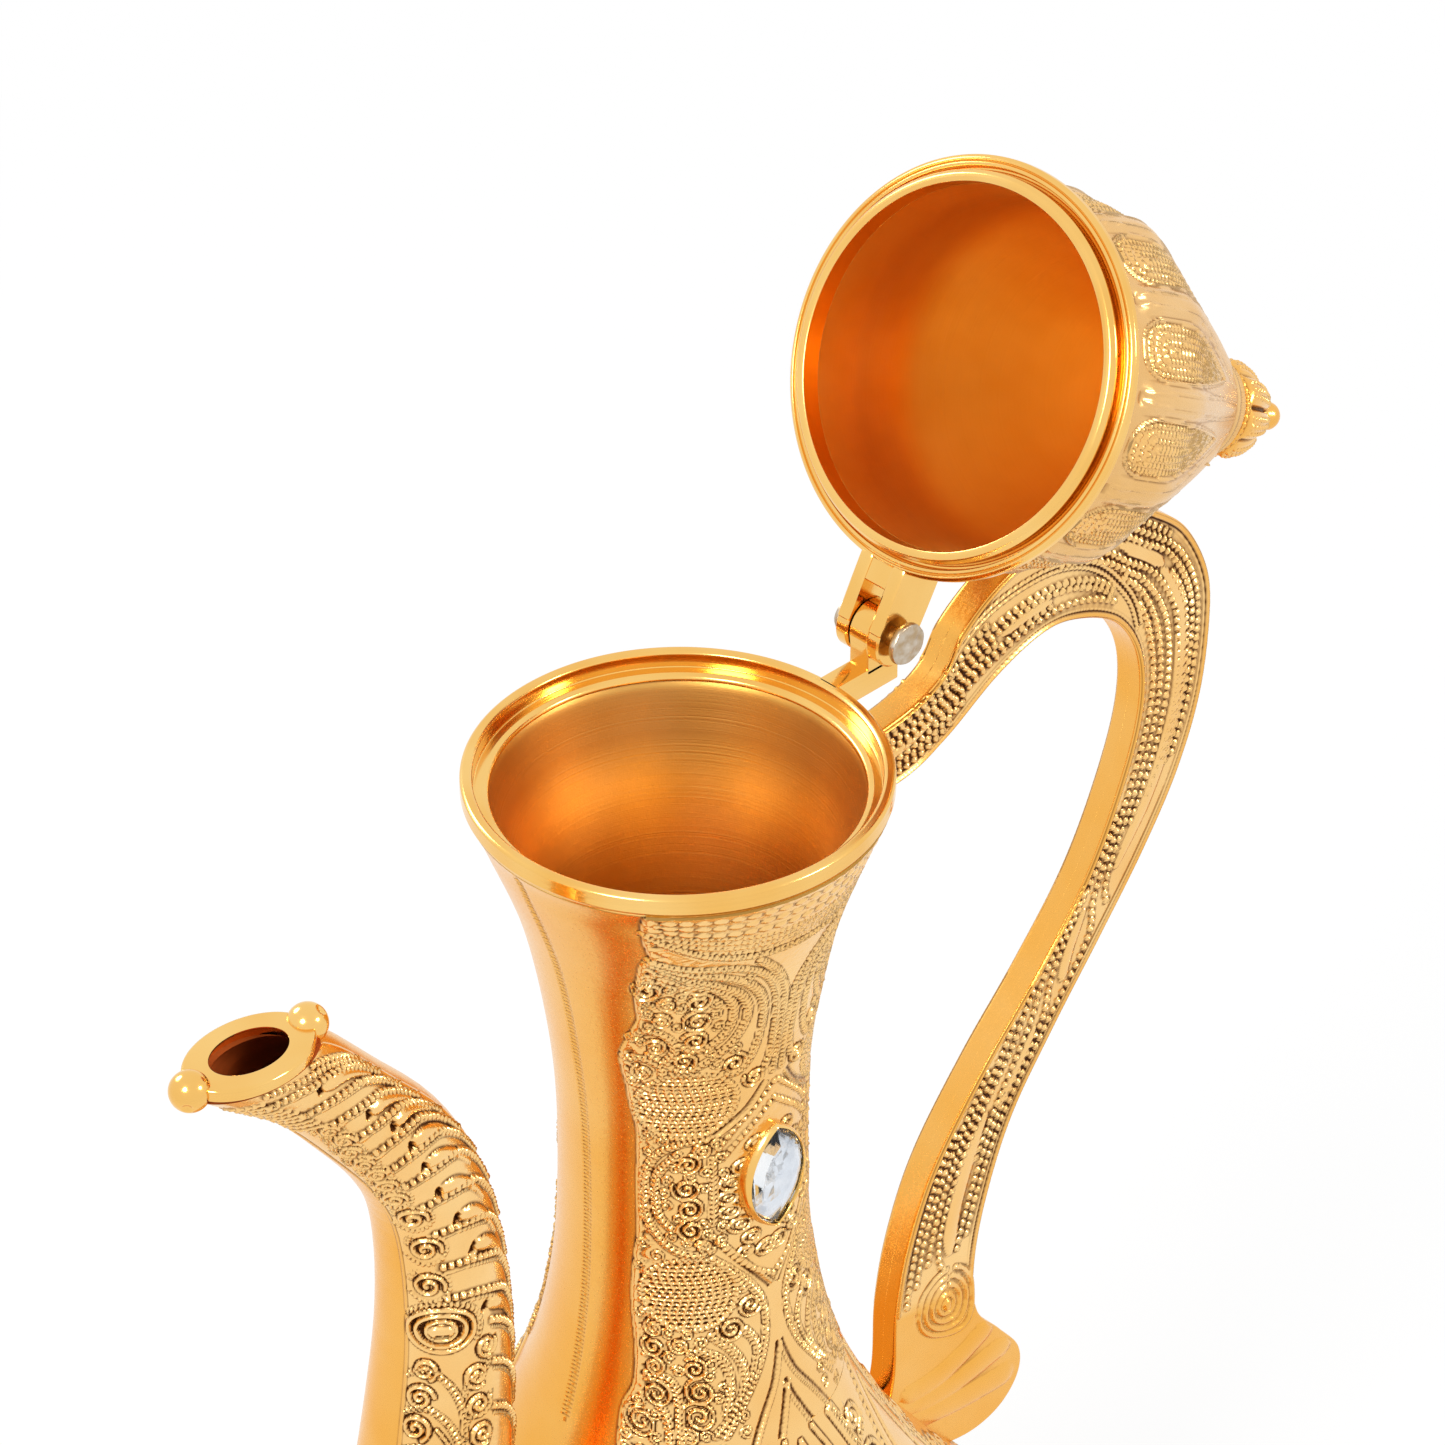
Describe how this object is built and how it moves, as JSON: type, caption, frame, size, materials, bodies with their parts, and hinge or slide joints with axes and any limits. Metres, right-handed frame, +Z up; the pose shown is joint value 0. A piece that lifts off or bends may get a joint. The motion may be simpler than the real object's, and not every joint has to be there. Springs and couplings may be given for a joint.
{
  "type": "dallah coffee pot",
  "caption": "Tall cast brass coffee pot with a slender neck, S-shaped spout, loop handle, side stones and a hinged dome lid.",
  "frame": {"origin": "centre of the foot's underside, on the axis of neck and belly", "axes": "+Z up, the spout towards -X, the handle and the lid's hinge towards +X"},
  "size_m": [0.2141, 0.124, 0.2983],
  "materials": {
    "gold_plate": "polished gold-coloured plate over cast relief",
    "inside_plate": "satin, turned",
    "bare_steel": "dull, hammered rivet head",
    "clear_stone": "faceted, clear"
  },
  "bodies": {
    "pot": {"neck_half_left": "gold_plate", "neck_half_right": "gold_plate", "belly_half_left": "gold_plate", "belly_half_right": "gold_plate", "rim_ring": "gold_plate", "foot": "gold_plate", "floor_disc": "inside_plate", "spout_half_left": "gold_plate", "spout_half_right": "gold_plate", "spout_lip": "gold_plate", "handle_half_left": "gold_plate", "handle_half_right": "gold_plate", "hinge_bracket": "gold_plate", "hinge_pin": "bare_steel", "stone_setting_left": "gold_plate", "stone_setting_right": "gold_plate", "stone_left": "clear_stone", "stone_right": "clear_stone"},
    "lid": {"lid_rim": "gold_plate", "lid_dome": "gold_plate", "finial": "gold_plate", "finial_stud": "bare_steel", "finial_nut": "bare_steel"}
  },
  "joints": [
    {"name": "lid_hinge", "type": "hinge", "parent": "pot", "child": "lid", "pos_m": [0.039, 0, 0.2367], "axis": [0, 1, 0], "range_deg": [-120, 0]}
  ]
}
